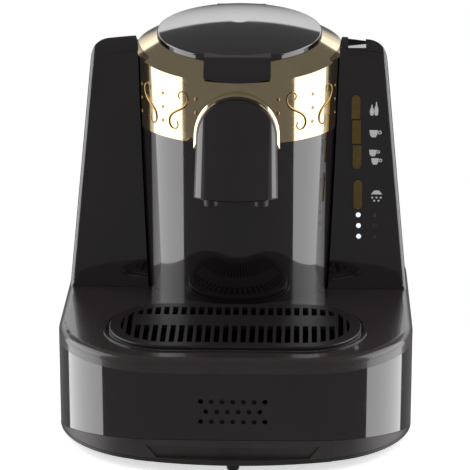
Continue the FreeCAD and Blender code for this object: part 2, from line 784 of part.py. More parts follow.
def pill(z, length, grow, start, depth, square_top, square_bottom):
    """A button or its hole: a strip with round or square ends, set along the leaning face."""
    r = size.button_width / 2 + grow
    x = button_x(z)
    half = length / 2 + grow
    body = block(x - r, x + r, -BEYOND / 2, BEYOND / 2, z - half, z + half)
    ends = []
    for sign, square in ((1, square_top), (-1, square_bottom)):
        if not square:
            centre = z + sign * (half - r)
            tip = centre + sign * 2 * r
            body = body.cut(block(x - r - 1, x + r + 1, -BEYOND, BEYOND, min(centre, tip), max(centre, tip)))
            ends.append(Part.makeCylinder(r, BEYOND, vector(x, -BEYOND / 2, centre), Y))
    for end in ends:
        body = body.fuse(end)
    return body.common(face_slab(start, depth)).removeSplitter()


lean = math.atan2(size.tower_front_top - size.tower_front, tower_top - size.deck_height)
rinse_height = top_button - 2 * size.button_pitch - size.rinse_gap
rinse_length = size.button_length + size.rinse_extra
buttons = (
    ("slow_brew_button", top_button, size.button_length, False, True),
    ("one_cup_button", top_button - size.button_pitch, size.button_length, True, True),
    ("two_cup_button", top_button - 2 * size.button_pitch, size.button_length, True, False),
    ("rinse_button", rinse_height, rinse_length, False, False),
)
column_cut = upright(well_radius + size.seam, 0, BEYOND, 0, column_y)
lamp_places = [rinse_height - size.lamp_gap - step * size.lamp_pitch for step in range(3)]
board_front = 2 * size.wall + 2 * size.seam
lenses = []
for side, label in ((-1, "left_panel"), (1, "control_panel")):
    panel = panel_prism(side, 0, 0, size.panel_thickness).cut(column_cut)
    if side > 0:
        for name, z, length, square_top, square_bottom in buttons:
            hole = pill(z, length, size.button_gap, -2 * size.wall, 6 * size.wall, square_top, square_bottom)
            panel = panel.cut(hole)
        for z in lamp_places:
            behind = vector(button_x(z), face_y(z) - 2 * size.wall, z)
            panel = panel.cut(Part.makeCylinder(size.lamp_radius + 0.05, 8 * size.wall, behind, Y))
            lens = Part.makeCylinder(size.lamp_radius, 8 * size.wall, behind, Y)
            lenses.append(lens.common(face_slab(-0.2, board_front + 0.2)))
    feature(label, panel.removeSplitter())
feature("indicator_lenses", Part.makeCompound(lenses))

board_margin = 20.0
board_width = 22.5
board_low = lamp_places[-1] - board_margin
board_high = top_button + board_margin
board_x0 = size.button_column - size.button_width / 2 - 3.0
control_board = block(board_x0, board_x0 + board_width, -BEYOND, BEYOND, board_low, board_high)
feature("control_board", control_board.common(face_slab(board_front, size.board_thickness)))
switches = []
switch_width = 5.0
switch_start = size.panel_thickness + size.button_travel + size.seam
for name, z, length, square_top, square_bottom in buttons:
    button = pill(z, length, 0, -size.button_proud, size.button_proud + size.panel_thickness,
                  square_top, square_bottom)
    feature(name, button)
    switch = Part.makeBox(switch_width, board_front - switch_start, switch_width)
    switch.translate(vector(-switch_width / 2, switch_start, -switch_width / 2))
    switch.rotate(vector(0, 0, 0), X, -math.degrees(lean))
    switch.translate(vector(button_x(z), face_y(z), z))
    switches.append(switch.common(face_slab(0, board_front)))
feature("button_switches", Part.makeCompound(switches))

# Tower caps: fixed on the left; on the right it is the grip cap of the water tank

left_floor = below_caps(0)[0]
right_floor = below_caps(size.seam)[1]
feature("left_cap", tower_outer.common(block(-BEYOND, 0, -BEYOND, BEYOND, 0, BEYOND)).cut(left_floor))
notch_low = roof_height(size.cap_height, size.notch_offset) + size.notch_floor
notch = block(size.notch_offset - size.notch_width / 2, size.notch_offset + size.notch_width / 2,
              -BEYOND, face_y(size.cap_height) + size.notch_depth, notch_low, BEYOND)
right_cap = tower_outer.common(block(0, BEYOND, -BEYOND, BEYOND, 0, BEYOND)).cut(right_floor).cut(notch)
feature("tank_cap", right_cap)

# Water tank, its valve and the dock under it


def tank_body(inset, z0, z1):
    gap = size.wall + size.water_tank_gap + inset
    body = block(size.column_radius / 2, tank_side - inset, size.water_tank_front + inset,
                 size.water_tank_rear - inset, z0, z1)
    edges = [edge for edge in body.Edges
             if abs(edge.BoundBox.ZLength) > 1 and edge.BoundBox.XMin > tank_side - inset - 1]
    body = body.makeFillet(size.water_tank_corner - inset, edges)
    return body.cut(upright(well_radius + gap, 0, BEYOND, 0, column_y))


dock_top = size.deck_height + size.dock_height
tank_low = dock_top + size.seam
tank_floor_top = tank_low + size.thin_wall
water_tank = tank_body(0, tank_low, tower_top).cut(tank_body(size.thin_wall, tank_floor_top, BEYOND))
water_tank = water_tank.common(cap_floors[1])
water_tank = water_tank.cut(upright(size.valve_radius, 0, tank_floor_top + 1, dock_x, tank_middle))
feature("water_tank", water_tank)
valve_flange = 1.5
valve = upright(size.valve_radius, tank_low, tank_floor_top, dock_x, tank_middle)
valve = valve.fuse(upright(size.valve_radius + valve_flange, tank_floor_top, tank_floor_top + 2 * size.thin_wall,
                           dock_x, tank_middle))
valve_way = upright(size.valve_bore, 0, BEYOND, dock_x, tank_middle)
feature("tank_valve", valve.cut(valve_way))
feature("tank_dock", tank_body(1.0, size.deck_height, dock_top).cut(valve_way))

# Column: a front half and a rear half with the vents

outlet_radius = size.tube_radius + size.pot_wall
outlet_height = size.feed_height - 2.0
spout_back = column_y - size.column_radius
column_outer = upright(size.column_radius, size.deck_height, size.band_bottom, 0, column_y)
column_tube = column_outer.cut(upright(size.column_radius - size.wall, 0, BEYOND, 0, column_y))
column_front = column_tube.common(block(-BEYOND, BEYOND, -BEYOND, column_y, 0, BEYOND))
outlet_hole = Part.makeCylinder(outlet_radius + size.seam, 6 * size.wall,
                                vector(0, spout_back - size.wall, outlet_height), Y)
feature("column_shell", column_front.cut(outlet_hole))
column_feed = Part.makeCylinder(tube_hole, pump_x, vector(-pump_x, size.pump_station, size.feed_height), X)
rear_cover = column_tube.cut(block(-BEYOND, BEYOND, -BEYOND, column_y + half_gap, 0, BEYOND)).cut(column_feed)
vent_count = 7
for number in range(round(vent_count)):
    z = size.deck_height + size.vent_start + number * size.vent_pitch
    rear_cover = rear_cover.cut(block(-size.vent_half_width, size.vent_half_width,
                                      column_y + size.column_radius / 2, BEYOND, z, z + size.vent_height))
feature("rear_cover", rear_cover)

# Head: band and bevel in one, tilted down to the front above, level below

head_centre = vector(0, column_y, size.lid_plane)
tilt = size.head_tilt


def tilted(shape):
    """Carry a shape made upright about the origin to the head's tilted axis."""
    copy = shape.copy()
    copy.rotate(vector(0, 0, 0), X, tilt)
    copy.translate(head_centre)
    return copy


def turned_ring(points):
    """Revolve a closed profile of (radius, height) pairs about Z."""
    return Part.Face(polygon([vector(r, 0, h) for r, h in points])).revolve(vector(0, 0, 0), Z, 360)


fall = math.tan(math.radians(size.bevel_slope))
far = 140.0
bevel = turned_ring([(0, 0), (size.lid_radius, 0), (far, -(far - size.lid_radius) * fall), (far, -far), (0, -far)])
band_outer = upright(size.band_radius, size.band_bottom, BEYOND, 0, column_y).common(tilted(bevel))
band_wall = 3.0
under = turned_ring([(0, -band_wall), (size.lid_radius - 1, -band_wall),
                     (far, -band_wall - (far - size.lid_radius + 1) * fall), (far, -far), (0, -far)])
band_inner = upright(size.band_radius - band_wall, 0, BEYOND, 0, column_y).common(tilted(under))
band = band_outer.cut(band_inner)
throat_wall = 3.0
ledge_width = 3.0
throat = turned_ring([(size.throat_radius, 0), (size.throat_radius + throat_wall, 0),
                      (size.throat_radius + throat_wall, -size.throat_depth - 2.5),
                      (size.throat_radius - ledge_width, -size.throat_depth - 2.5),
                      (size.throat_radius - ledge_width, -size.throat_depth),
                      (size.throat_radius, -size.throat_depth)])
band = band.fuse(tilted(throat))
mouth = turned_ring([(0, 1), (size.throat_radius, 1), (size.throat_radius, -size.throat_depth),
                     (size.throat_radius - ledge_width, -size.throat_depth),
                     (size.throat_radius - ledge_width, -40), (0, -40)])
band = band.cut(tilted(mouth))
sensor_y = column_y - math.sqrt(size.band_radius ** 2 - size.sensor_offset ** 2)
sensor_seat = Part.makeCylinder(size.sensor_radius + 0.1, 3 * band_wall,
                                vector(-size.sensor_offset, sensor_y - 1.3 * band_wall, size.band_bottom), Y)
band = band.cut(sensor_seat)
feature("head_band", band.removeSplitter())

sensor = Part.makeCylinder(size.sensor_radius, 1.6 * band_wall,
                           vector(-size.sensor_offset, sensor_y - 0.2 * band_wall, size.band_bottom), Y)
sensor = sensor.common(block(-BEYOND, BEYOND, -BEYOND, BEYOND, size.band_bottom, BEYOND))
feature("cup_sensor", sensor)

# Hinge at the back of the head: two ears and a pin on the band, a barrel on the lid

hinge_axis = tilted(Part.Vertex(0, size.hinge_reach, size.hinge_height)).Point
ear_width = 4.0
ear_gap = 0.3
lug_width = 2 * size.hinge_half_width - 2 * ear_width - 2 * ear_gap


def hinge_bar(radius, x0, x1):
    return Part.makeCylinder(radius, x1 - x0, vector(x0, size.hinge_reach, size.hinge_height), X)


def ear(x0):
    base_height = -(size.hinge_reach + size.hinge_radius - size.lid_radius) * fall - 1.5
    body = block(x0, x0 + ear_width, size.hinge_reach - size.hinge_radius, size.hinge_reach + size.hinge_radius,
                 base_height, size.hinge_height)
    return body.fuse(hinge_bar(size.hinge_radius, x0, x0 + ear_width))


ears = ear(-size.hinge_half_width).fuse(ear(size.hinge_half_width - ear_width))
ears = ears.cut(hinge_bar(size.hinge_pin_radius, -BEYOND, BEYOND))
ears = tilted(ears).cut(band_outer)
feature("lid_hinge_ears", ears)
feature("lid_hinge_pin", tilted(hinge_bar(size.hinge_pin_radius, -size.hinge_half_width, size.hinge_half_width)))

# Lid: domed shell with the front tab, its liner and its seal

lid_lift = size.seam
edge_top = size.lid_edge
dome_rise = size.lid_dome
dome_radius = ((size.lid_radius - 2) ** 2 + dome_rise ** 2) / (2 * dome_rise)
lid_disc = Part.makeCylinder(size.lid_radius, edge_top + dome_rise - lid_lift, vector(0, 0, lid_lift), Z)
dome = Part.makeSphere(dome_radius, vector(0, 0, edge_top + dome_rise - dome_radius))
lid = lid_disc.common(dome)
rim = [edge for edge in lid.Edges
       if abs(edge.BoundBox.XLength - 2 * size.lid_radius) < 0.5 and edge.BoundBox.ZMin > lid_lift + 1]
lid = lid.makeFillet(1.8, rim)


def tab_profile():
    """Side view of the front tab: it lies on the bevel and reaches a little past the shoulder."""
    front = -(size.band_radius + size.tab_overhang)
    back = -(size.lid_radius - 8)
    start = -(size.lid_radius + 0.5)
    lift = size.seam + 0.1
    low_front = -(-front - size.lid_radius) * fall + lift
    return [vector(0, back, lid_lift), vector(0, start, lid_lift), vector(0, front, low_front),
            vector(0, front, low_front + size.tab_thickness - 0.6),
            vector(0, front + 1.4, low_front + size.tab_thickness + 0.4),
            vector(0, start - 1, edge_top + 0.2), vector(0, back, edge_top + 0.4)]


tab = prism(polygon(tab_profile()), vector(2 * size.tab_half_width, 0, 0))
tab.translate(vector(-size.tab_half_width, 0, 0))
tab = tab.common(upright(size.band_radius + size.tab_overhang, -BEYOND, BEYOND))
arm_side = polygon([vector(0, size.lid_radius - 6, lid_lift), vector(0, size.lid_radius + 0.6, lid_lift),
                    vector(0, size.hinge_reach - 1, size.hinge_height - 1.5),
                    vector(0, size.hinge_reach, size.hinge_height + size.hinge_radius),
                    vector(0, size.lid_radius, edge_top - 1), vector(0, size.lid_radius - 6, edge_top - 1)])
arm = prism(arm_side, vector(lug_width, 0, 0))
arm.translate(vector(-lug_width / 2, 0, 0))
barrel = hinge_bar(size.hinge_radius, -lug_width / 2, lug_width / 2)
barrel_bore = hinge_bar(size.hinge_pin_radius + 0.05, -BEYOND, BEYOND)
lid = lid.fuse(tab).fuse(arm).fuse(barrel).cut(barrel_bore)
liner_radius = size.throat_radius - size.wall
liner_top = size.wall
lid = lid.cut(upright(liner_radius + 0.05, -BEYOND, liner_top))
feature("lid_shell", tilted(lid))
liner_bottom = -size.liner_drop
head = ("0", "{column_centre}", "{lid_plane}", X, "{head_tilt}")
turned("lid_liner", [("0", "-{liner_drop}"), ("{throat_radius} - {wall}", "-{liner_drop}"),
                     ("{throat_radius} - {wall}", "{wall}"), ("0", "{wall}")], *head)
turned("lid_seal", [
    ("{pot_rim} - {seal_width} - {thin_wall}", "-{liner_drop} - {seal_height}"),
    ("{pot_rim} - {thin_wall}", "-{liner_drop} - {seal_height}"),
    ("{pot_rim} - {thin_wall}", "-{liner_drop}"),
    ("{pot_rim} - {seal_width} - {thin_wall}", "-{liner_drop}")], *head)

# Brewing chamber: a pot hung by its rim, on the insert, with the heater under it

rim_top = liner_bottom - size.seal_height - size.seam
pot_outer = size.pot_radius + size.pot_wall
pot_low = rim_top - size.pot_depth
pot_top_text = "-{liner_drop} - {seal_height} - {seam}"
rim_under_text = pot_top_text + " - {pot_wall}"
pot_low_text = pot_top_text + " - {pot_depth}"
turned("head_insert", [
    ("{pot_radius} + {pot_wall} + {wall} / 5", "-{throat_depth}"), ("{throat_radius} - {seam}", "-{throat_depth}"),
    ("{throat_radius} - {seam}", rim_under_text), ("{pot_radius} + {pot_wall} + {wall} / 5", rim_under_text)],
    *head)
turned("brew_chamber", [
    ("0", pot_low_text), ("{pot_radius} + {pot_wall}", pot_low_text), ("{pot_radius} + {pot_wall}", rim_under_text),
    ("{pot_rim}", rim_under_text), ("{pot_rim}", pot_top_text), ("{pot_radius}", pot_top_text),
    ("{pot_radius}", pot_low_text + " + {pot_wall}"), ("0", pot_low_text + " + {pot_wall}")], *head)
turned("heater_plate", [
    ("0", pot_low_text + " - {heater_thickness}"), ("{heater_radius}", pot_low_text + " - {heater_thickness}"),
    ("{heater_radius}", pot_low_text), ("0", pot_low_text)], *head)

# Outlet of the chamber and the spout

pot_skin = tilted(upright(pot_outer + size.seam, -BEYOND, BEYOND))
valve_half = 9.0
valve_half_height = 8.0
valve_setback = 22.0
valve_front = spout_back + valve_setback
outlet_valve = block(-valve_half, valve_half, valve_front, column_y, outlet_height - valve_half_height,
                     outlet_height + valve_half_height).cut(pot_skin)
feature("outlet_valve", outlet_valve)
tube_start = spout_back + 0.2
outlet_tube = Part.makeCylinder(outlet_radius, valve_front - 0.2 - tube_start, vector(0, tube_start, outlet_height), Y)
outlet_tube = outlet_tube.cut(Part.makeCylinder(size.tube_radius, BEYOND, vector(0, -BEYOND / 2, outlet_height), Y))
feature("outlet_tube", outlet_tube)


def arch(grow, z0):
    """Outline of the spout cover seen from the front down to height z0, grown outwards by a margin."""
    s = size
    r = s.arch_radius + grow
    spread = (s.cover_half_width - s.arch_radius) / (s.arch_height - s.cover_bottom)
    foot = r + spread * (s.arch_height - z0)
    return Part.Wire([Part.Arc(vector(r, 0, s.arch_height), vector(0, 0, s.arch_height + r),
                               vector(-r, 0, s.arch_height)).toShape(),
                      Part.makeLine(vector(-r, 0, s.arch_height), vector(-foot, 0, z0)),
                      Part.makeLine(vector(-foot, 0, z0), vector(foot, 0, z0)),
                      Part.makeLine(vector(foot, 0, z0), vector(r, 0, s.arch_height))])


def arch_prism(grow, z0, front, back):
    body = prism(arch(grow, z0), vector(0, back - front, 0))
    body.translate(vector(0, front, 0))
    return body


def cover_bulge(grow):
    """The leaning cylinder that gives the cover its curved front."""
    direction = FreeCAD.Vector(0, math.sin(math.radians(size.cover_lean)), math.cos(math.radians(size.cover_lean)))
    start = vector(0, size.cover_curve - size.cover_reach, size.cover_bottom)
    return Part.makeCylinder(size.cover_curve + grow, 2 * BEYOND, start - direction * BEYOND, direction)


behind_spout = column_y
ahead = -2 * size.cover_reach
column_skin = upright(size.column_radius + 0.05, 0, size.band_bottom, 0, column_y)
band_skin = upright(size.band_radius + 0.05, size.band_bottom, BEYOND, 0, column_y)
skins = column_skin.fuse(band_skin)
cover_outer = arch_prism(0, size.cover_bottom, ahead, behind_spout).common(cover_bulge(0)).cut(skins)
cover_inner = arch_prism(-size.wall, size.cover_bottom - 1, ahead, behind_spout).common(cover_bulge(-size.wall))
feature("spout_cover", cover_outer.cut(cover_inner).removeSplitter())
bead = 1.3
bead_near = 1.5
bead_far = 4.0
trim = arch_prism(bead, size.cover_bottom - bead, ahead, behind_spout).cut(
    arch_prism(0.02, size.cover_bottom - 0.02, ahead - 1, behind_spout + 1))
trim = trim.common(cover_bulge(-bead_near).cut(cover_bulge(-bead_far))).cut(skins)
feature("spout_trim", trim.removeSplitter())
collar = arch_prism(size.collar_width, size.band_bottom, -size.collar_reach, behind_spout).cut(
    arch_prism(bead + 0.2, size.cover_bottom, ahead, behind_spout))
collar = collar.common(cover_bulge(-2 * size.wall)).cut(band_skin)
feature("spout_collar", collar.removeSplitter())

spout_floor = size.cover_bottom
spout_top = outlet_height + 6.0
spout_side = -size.wall - size.seam
channel_side = spout_side - band_wall
spout = arch_prism(spout_side, spout_floor, ahead, behind_spout).common(cover_bulge(spout_side))
spout = spout.cut(skins).common(block(-BEYOND, BEYOND, -BEYOND, BEYOND, spout_floor, spout_top))
channel = arch_prism(channel_side, spout_floor + band_wall, ahead, behind_spout).common(cover_bulge(channel_side))
channel = channel.common(block(-BEYOND, BEYOND, -BEYOND, spout_back - 4, spout_floor, spout_top - band_wall))
spout = spout.cut(channel).cut(Part.makeCylinder(size.tube_radius, -ahead / 2, vector(0, ahead / 2, outlet_height), Y))
nozzle_low = spout_floor - size.nozzle_length
nozzle_y = -size.nozzle_reach
for side in (-1, 1):
    spout = spout.cut(upright(size.nozzle_bore, 0, spout_floor + 4, side * size.nozzle_spacing / 2, nozzle_y))
feature("spout_body", spout.removeSplitter())
nozzles = []
for side in (-1, 1):
    x = side * size.nozzle_spacing / 2
    nozzle = upright(size.nozzle_radius, nozzle_low, spout_floor, x, nozzle_y)
    bottom_edge = [edge for edge in nozzle.Edges if edge.BoundBox.ZMax < nozzle_low + 0.1]
    nozzle = nozzle.makeFillet(0.8, bottom_edge)
    nozzles.append(nozzle.cut(upright(size.nozzle_bore, 0, BEYOND, x, nozzle_y)))
feature("nozzles", Part.makeCompound(nozzles))

# Pump, tubes and the power board

tower_foot_text = "({base_half_width} - {tower_step})"
pump_top_share_text = "{pump_length} / ({cap_height} + {cap_crown} - {deck_height})"
pump_x_text = (f"({{band_radius}} + {{tower_gap}} + {tower_foot_text}"
               f" + ({{tower_top_half_width}} - {tower_foot_text}) * {pump_top_share_text}) / 2")
pump = primitive("Cylinder", "water_pump", {"Radius": "{pump_radius}", "Height": "{pump_length}"},
                 "-" + pump_x_text, "{pump_station}", "{deck_height}")
keep(pump, "water_pump")


def tube(points, radius, radii):
    """A tube along straight runs joined by tangent arcs."""
    edges = []
    start = points[0]
    for index in range(1, len(points) - 1):
        before = (points[index - 1] - points[index]).normalize()
        after = (points[index + 1] - points[index]).normalize()
        corner = points[index]
        first = corner + before * radii
        last = corner + after * radii
        centre = corner + before * radii + after * radii
        middle = centre + (corner - centre).normalize() * radii
        edges.append(Part.makeLine(start, first))
        edges.append(Part.Arc(first, middle, last).toShape())
        start = last
    edges.append(Part.makeLine(start, points[-1]))
    path = Part.Wire(edges)
    way = (points[1] - points[0]).normalize()
    section = Part.Wire(Part.makeCircle(radius, points[0], way))
    return path.makePipeShell([section], True, False)


low_run = parting_height - size.tube_bend - 2.0
supply = tube([vector(dock_x, tank_middle, size.deck_height), vector(dock_x, tank_middle, low_run),
               vector(-pump_x, size.pump_station, low_run),
               vector(-pump_x, size.pump_station, size.deck_height)], size.tube_radius, size.tube_bend)
feature("supply_tube", supply)
feed_end = 4 - pot_outer
feed = tube([vector(-pump_x, size.pump_station, pump_top), vector(-pump_x, size.pump_station, size.feed_height),
             vector(feed_end, size.pump_station, size.feed_height)], size.tube_radius, size.tube_bend)
feature("feed_tube", feed.cut(pot_skin))

power_board = block(-size.board_half_width, size.board_half_width, size.board_front, size.board_rear,
                    board_height, board_height + size.board_thickness)
for x, y in board_posts:
    power_board = power_board.cut(upright(size.screw_radius, 0, BEYOND, x, y))
feature("power_board", power_board)
board_top_text = "{foot_height} + {plate_thickness} + {board_stand} + {board_thickness}"
transformer = primitive("Box", "transformer", {
    "Length": "{transformer_width}", "Width": "{transformer_depth}", "Height": "{transformer_height}"},
    "-{transformer_width} * 5 / 6", "{board_front} + {transformer_depth} / 2", board_top_text)
keep(transformer, "transformer")

doc.recompute()

# Every object has to be sound before a file is written
for obj in doc.Objects:
    if "Invalid" in obj.State or "Error" in obj.State:
        raise RuntimeError(obj.Name + " did not build")
for obj in nodes:
    if obj.Shape.isNull() or not obj.Shape.isValid():
        raise RuntimeError(obj.Label + " has no sound shape")
for obj in nodes:
    obj.Shape.exportStep(os.path.join("parts", obj.Label + ".step"))
    print(obj.Label, len(obj.Shape.Solids), round(obj.Shape.Volume / 1000, 2), "cm3")
print(len(nodes), "sub-parts")
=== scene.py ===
# %% [markdown]
# # An electric Turkish coffee maker
# The machine is a black two-tower box of moulded ABS with a gold band round its brewing head.
# Its solids are already built, so Blender adds what solids lack: the finishes, the relief on the
# band, the printed symbols, the lamps, and a small studio. Each step below first says what the
# real thing is and how it could be made, and then makes it.

import json
import math

import bpy
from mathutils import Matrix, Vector


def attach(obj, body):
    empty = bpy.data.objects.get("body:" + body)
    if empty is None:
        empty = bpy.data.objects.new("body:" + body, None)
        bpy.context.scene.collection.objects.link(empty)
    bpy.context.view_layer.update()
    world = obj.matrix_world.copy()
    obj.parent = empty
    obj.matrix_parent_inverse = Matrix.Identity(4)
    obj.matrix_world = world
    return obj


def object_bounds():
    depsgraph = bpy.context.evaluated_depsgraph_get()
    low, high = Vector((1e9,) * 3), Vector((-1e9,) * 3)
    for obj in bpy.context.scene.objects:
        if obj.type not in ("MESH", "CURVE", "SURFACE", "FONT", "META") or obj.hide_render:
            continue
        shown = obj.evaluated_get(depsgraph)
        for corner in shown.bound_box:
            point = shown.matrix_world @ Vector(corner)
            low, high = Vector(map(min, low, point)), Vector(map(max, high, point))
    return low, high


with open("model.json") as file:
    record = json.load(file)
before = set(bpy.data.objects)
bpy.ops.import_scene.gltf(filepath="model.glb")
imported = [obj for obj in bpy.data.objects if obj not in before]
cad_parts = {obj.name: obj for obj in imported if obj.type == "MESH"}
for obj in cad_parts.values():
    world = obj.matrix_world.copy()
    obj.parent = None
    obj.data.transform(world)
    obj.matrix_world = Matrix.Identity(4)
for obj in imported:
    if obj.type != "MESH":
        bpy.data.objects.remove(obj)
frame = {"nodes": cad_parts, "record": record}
solid_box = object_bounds()
low_corner, high_corner = [Vector(corner) for corner in solid_box]
MM = 0.001
print("solid box in mm:", [round(value / MM, 1) for value in (*low_corner, *high_corner)])

# %% [markdown]
# ## Three small helpers
# Colours are written as the hex values that a colour picker gives, and turned into the linear
# values that the renderer works in. One function adds a shader node with its settings and links,
# so each material below reads as a short list.

# %% Helpers for colours, nodes and selection


def linear(hex_colour):
    """An sRGB hex colour as linear red, green, blue and alpha."""
    values = []
    for start in (0, 2, 4):
        value = int(hex_colour[start:start + 2], 16) / 255
        values.append(value / 12.92 if value <= 0.04045 else ((value + 0.055) / 1.055) ** 2.4)
    return (*values, 1.0)


def add_node(tree, kind, settings=None, inputs=None):
    """Add a node, set its options, and give each input a value or a link."""
    node = tree.nodes.new(kind)
    for name, value in (settings or {}).items():
        setattr(node, name, value)
    for name, value in (inputs or {}).items():
        if isinstance(value, bpy.types.NodeSocket):
            tree.links.new(value, node.inputs[name])
        else:
            node.inputs[name].default_value = value
    return node


def select_only(piece):
    """Make one piece the only selected and the active one, as a click on it does."""
    bpy.ops.object.select_all(action="DESELECT")
    piece.select_set(True)
    bpy.context.view_layer.objects.active = piece


bpy.ops.object.select_all(action="DESELECT")
print("black ABS in linear colour:", [round(value, 4) for value in linear("1a1516")])

# %% [markdown]
# ## The camera
# The photograph looks down a little, from about two metres away, with a long lens: the two sides
# of the base stay almost parallel. A wide lens close by would bend the towers apart. The camera
# is aimed at a point just in front of the column, and its focal length is worked out from how
# many pixels a metre covers.

# %% Place the camera
IMAGE_WIDTH = 470
SENSOR_WIDTH = 36.0
FOCAL_PIXELS = 2600.0
CAMERA_DISTANCE = 2.0
CAMERA_HEIGHT_ANGLE = math.radians(18.3)
CAMERA_SIDE_ANGLE = math.radians(1.5)
aim = Vector((-0.0004, -0.060, 0.163))

across = math.cos(CAMERA_HEIGHT_ANGLE)
away = Vector((math.sin(CAMERA_SIDE_ANGLE) * across, -math.cos(CAMERA_SIDE_ANGLE) * across,
               math.sin(CAMERA_HEIGHT_ANGLE)))
bpy.ops.object.camera_add(location=aim + away * CAMERA_DISTANCE,
                          rotation=(-away).to_track_quat("-Z", "Y").to_euler())
camera = bpy.context.object
camera.name = "photo_camera"
camera.data.sensor_width = SENSOR_WIDTH
camera.data.lens = FOCAL_PIXELS / IMAGE_WIDTH * SENSOR_WIDTH
bpy.context.scene.camera = camera
bpy.context.scene.view_settings.view_transform = "Standard"
print("focal length in mm:", round(camera.data.lens, 1))

# %% [markdown]
# ## The studio
# Glossy black plastic has hardly any colour of its own: what is seen on it is the room. So the
# room is designed like a product photographer's: a pale table, one tall softbox on each side that
# draws the bright upright stripes on the column and the corners, a wall behind the machine that
# brightens upwards and turns the back of the lid grey, and a dim ceiling and camera side that keep
# the front black. The table is a small disc that fades out at its edge. Mirrored rays pass through
# it, so the front of the base stays dark down to its foot, as in the photograph.

# %% Table
TABLE_RADIUS = 0.27
TABLE_FADE = 0.07
TABLE_GLOW = 0.6
TABLE_RIM = 0.004
bpy.ops.mesh.primitive_circle_add(vertices=96, radius=TABLE_RADIUS, fill_type="NGON", location=(0, 0, 0))
table = bpy.context.object
table.name = "table"
table_paint = bpy.data.materials.new("pale_table")
table_paint.use_nodes = True
tree = table_paint.node_tree
tree.nodes.clear()
place_on_table = add_node(tree, "ShaderNodeTexCoord").outputs["Object"]
from_middle = add_node(tree, "ShaderNodeVectorMath", {"operation": "LENGTH"}, {0: place_on_table})
fade = add_node(tree, "ShaderNodeMapRange", {"interpolation_type": "SMOOTHSTEP"},
                {"Value": from_middle.outputs["Value"], "From Min": TABLE_RADIUS - TABLE_FADE,
                 "From Max": TABLE_RADIUS - TABLE_RIM})
paint = add_node(tree, "ShaderNodeBsdfPrincipled", None,
                 {"Base Color": linear("fafaf9"), "Roughness": 0.6, "Emission Color": (1, 1, 1, 1),
                  "Emission Strength": TABLE_GLOW})
clear = add_node(tree, "ShaderNodeBsdfTransparent")
passed_through = add_node(tree, "ShaderNodeMath", {"operation": "MAXIMUM"},
                          {0: fade.outputs["Result"],
                           1: add_node(tree, "ShaderNodeLightPath").outputs["Is Glossy Ray"]})
blend = add_node(tree, "ShaderNodeMixShader", None,
                 {0: passed_through.outputs[0], 1: paint.outputs[0], 2: clear.outputs[0]})
add_node(tree, "ShaderNodeOutputMaterial", None, {"Surface": blend.outputs[0]})
table.data.materials.append(table_paint)
print("table radius in mm:", TABLE_RADIUS / MM)

# %% [markdown]
# The world gives three answers. To the camera it is plain white. To a glossy or clear surface it
# is the room: a wall that brightens from the horizon up, then a crisp edge to the dim ceiling, and
# a faint even glow on the camera's side. To everything else it is a soft even light, so that a
# colour comes out about as it is written.

# %% Room
WALL_TOP = math.sin(math.radians(25))
WALL_BLUR = 0.015
WALL_FOOT_BRIGHTNESS = 0.05
WALL_HEAD_BRIGHTNESS = 1.7
CAMERA_SIDE_BRIGHTNESS = 0.15
WALL_FADE_START = -0.55
WALL_FADE_END = 0.05
WALL_LEFT_IN_FRONT = 0.05
FILL_LIGHT = 0.55
CEILING_BRIGHTNESS = 0.10
room = bpy.data.worlds.new("studio_room")
bpy.context.scene.world = room
room.use_nodes = True
tree = room.node_tree
tree.nodes.clear()
ray = add_node(tree, "ShaderNodeLightPath")
direction = add_node(tree, "ShaderNodeSeparateXYZ", None,
                     {0: add_node(tree, "ShaderNodeTexCoord").outputs["Generated"]})
wall = add_node(tree, "ShaderNodeMapRange", None,
                {"Value": direction.outputs["Z"], "From Min": 0.0, "From Max": WALL_TOP,
                 "To Min": WALL_FOOT_BRIGHTNESS, "To Max": WALL_HEAD_BRIGHTNESS})
above_wall = add_node(tree, "ShaderNodeMapRange", {"interpolation_type": "SMOOTHSTEP"},
                      {"Value": direction.outputs["Z"], "From Min": WALL_TOP - WALL_BLUR,
                       "From Max": WALL_TOP + WALL_BLUR, "To Min": wall.outputs[0],
                       "To Max": CEILING_BRIGHTNESS})
towards_camera = add_node(tree, "ShaderNodeMapRange", {"interpolation_type": "SMOOTHSTEP"},
                          {"Value": direction.outputs["Y"], "From Min": WALL_FADE_START,
                           "From Max": WALL_FADE_END, "To Min": WALL_LEFT_IN_FRONT, "To Max": 1.0})
lit_wall = add_node(tree, "ShaderNodeMath", {"operation": "MULTIPLY"},
                    {0: above_wall.outputs["Result"], 1: towards_camera.outputs["Result"]})
seen_in_gloss = add_node(tree, "ShaderNodeMath", {"operation": "MAXIMUM"},
                         {0: lit_wall.outputs[0], 1: CAMERA_SIDE_BRIGHTNESS})
mirrored = add_node(tree, "ShaderNodeMath", {"operation": "MAXIMUM"},
                    {0: ray.outputs["Is Glossy Ray"], 1: ray.outputs["Is Transmission Ray"]})
not_camera = add_node(tree, "ShaderNodeMix", {"data_type": "FLOAT"},
                      {0: mirrored.outputs[0], 2: FILL_LIGHT, 3: seen_in_gloss.outputs[0]})
strength = add_node(tree, "ShaderNodeMix", {"data_type": "FLOAT"},
                    {0: ray.outputs["Is Camera Ray"], 2: not_camera.outputs[0], 3: 1.0})
light = add_node(tree, "ShaderNodeBackground", None,
                 {"Color": (1, 1, 1, 1), "Strength": strength.outputs[0]})
add_node(tree, "ShaderNodeOutputWorld", None, {"Surface": light.outputs[0]})
print("fill light:", FILL_LIGHT)

